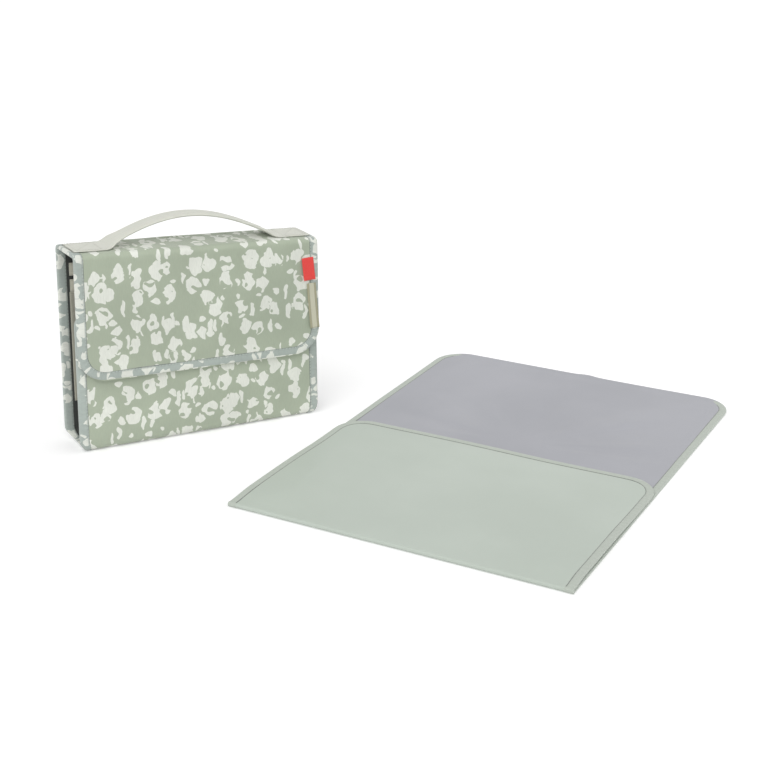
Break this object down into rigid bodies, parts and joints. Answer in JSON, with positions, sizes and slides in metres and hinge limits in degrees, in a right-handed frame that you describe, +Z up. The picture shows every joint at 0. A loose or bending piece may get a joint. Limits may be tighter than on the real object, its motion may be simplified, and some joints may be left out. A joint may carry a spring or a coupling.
{
  "type": "changing pad",
  "caption": "Fold-up baby changing mat with a padded standing pouch: hinged lid and flap, carry handle, mesh zip pocket, folding wipe-clean mat panels.",
  "frame": {"origin": "centre of the whole set's footprint, on the surface the pouch and the mat stand on", "axes": "+Z up, +X along the pouch's width, -Y out of the pouch's front; the mat is turned 53 degrees clockwise from the pouch, seen from above"},
  "size_m": [0.7066, 0.5822, 0.2456],
  "materials": {
    "printed_cloth": "sage woven polyester with an off-white speckle print, soft sheen",
    "pouch_binding": "pale grey-green bias binding, folded and stitched",
    "foam": "thin padding foam",
    "lining": "dark lining cloth",
    "stiffener": "thin polyethylene board",
    "mesh": "dark open mesh",
    "zip_tape": "beige woven zip tape",
    "zip_coil": "nylon coil",
    "zip_metal": "painted zinc",
    "pocket_cloth": "beige pocket cloth",
    "webbing": "pale cream-green webbing",
    "red_label": "red woven label, bare",
    "ribbon_label": "olive-beige ribbon, bare",
    "magnet": "nickel-plated magnet",
    "mat_face_coat": "pale sage coated cloth, wipe-clean",
    "mat_backing_coat": "blue-grey coated cloth",
    "wadding": "thin wadding",
    "mat_binding": "sage bias binding"
  },
  "bodies": {
    "pouch_back": {"back_binding_left": "pouch_binding", "back_binding_right": "pouch_binding", "back_foam": "foam", "back_lining": "lining", "back_shell": "printed_cloth", "bottom_binding_left": "pouch_binding", "bottom_binding_right": "pouch_binding", "bottom_board": "stiffener", "bottom_lining": "lining", "bottom_shell": "printed_cloth", "mesh_pocket": "mesh", "mesh_pocket_binding": "zip_tape", "zip_coil": "zip_coil", "zip_stops": "zip_metal", "zip_tape_lower": "zip_tape", "zip_tape_upper": "zip_tape"},
    "pouch_front": {"diaper_pocket": "pocket_cloth", "diaper_pocket_hem": "pocket_cloth", "front_binding": "pouch_binding", "front_foam": "foam", "front_lining": "lining", "front_magnets": "magnet", "front_shell": "printed_cloth", "wipes_pocket": "pocket_cloth", "wipes_pocket_hem": "pocket_cloth"},
    "flap": {"flap_binding": "pouch_binding", "flap_foam": "foam", "flap_lining": "lining", "flap_magnets": "magnet", "flap_shell": "printed_cloth", "red_label": "red_label", "ribbon_label": "ribbon_label"},
    "pouch_top": {"handle_end_left": "webbing", "handle_end_right": "webbing", "top_binding_left": "pouch_binding", "top_binding_right": "pouch_binding", "top_foam": "foam", "top_lining": "lining", "top_shell": "printed_cloth"},
    "handle": {"handle_grip": "webbing"},
    "mat_far": {"mat_far_backing": "mat_backing_coat", "mat_far_binding": "mat_binding", "mat_far_face": "mat_face_coat", "mat_far_wadding": "wadding"},
    "mat_mid": {"mat_mid_backing": "mat_backing_coat", "mat_mid_binding_left": "mat_binding", "mat_mid_binding_right": "mat_binding", "mat_mid_face": "mat_face_coat", "mat_mid_wadding": "wadding"},
    "mat_near": {"mat_near_backing": "mat_backing_coat", "mat_near_binding": "mat_binding", "mat_near_face": "mat_face_coat", "mat_near_wadding": "wadding"},
    "zip_puller": {"zip_puller": "zip_metal"},
    "zip_slider": {"zip_slider": "zip_metal"}
  },
  "joints": [
    {"name": "lid_fold", "type": "hinge", "parent": "pouch_back", "child": "pouch_top", "pos_m": [-0.21832, 0.23751, 0.214], "axis": [-1, 0, 0], "range_deg": [0, 179]},
    {"name": "flap_fold", "type": "hinge", "parent": "pouch_top", "child": "flap", "pos_m": [-0.21832, 0.18791, 0.214], "axis": [-1, 0, 0], "range_deg": [0, 110]},
    {"name": "front_fold", "type": "hinge", "parent": "pouch_back", "child": "pouch_front", "pos_m": [-0.21832, 0.18951, 0], "axis": [1, 0, 0], "range_deg": [0, 75]},
    {"name": "handle_lean", "type": "hinge", "parent": "pouch_top", "child": "handle", "pos_m": [-0.21832, 0.21051, 0.2161], "axis": [1, 0, 0], "range_deg": [-30, 30], "stiffness_Nm_per_rad": 0.03},
    {"name": "zip_slide", "type": "slide", "parent": "pouch_back", "child": "zip_slider", "axis": [1, 0, 0], "range_m": [0, 0.203]},
    {"name": "puller_swing", "type": "hinge", "parent": "zip_slider", "child": "zip_puller", "pos_m": [-0.31982, 0.22756, 0.186], "axis": [-1, 0, 0], "range_deg": [0, 90]},
    {"name": "mat_lift", "type": "slide", "parent": "pouch_back", "child": "mat_mid", "axis": [0, 0, 1], "range_m": [0, 0.3]},
    {"name": "near_fold", "type": "hinge", "parent": "mat_mid", "child": "mat_near", "pos_m": [-0.14332, -0.14349, 0.00275], "axis": [0.6018, -0.7986, 0], "range_deg": [0, 179]},
    {"name": "far_fold", "type": "hinge", "parent": "mat_mid", "child": "mat_far", "pos_m": [0.05634, 0.00696, 0.0042], "axis": [0.6018, -0.7986, 0], "range_deg": [0, 179]}
  ],
  "couplings": [
    {"joint": "front_fold", "follows": "lid_fold", "ratio": 0.41667}
  ]
}
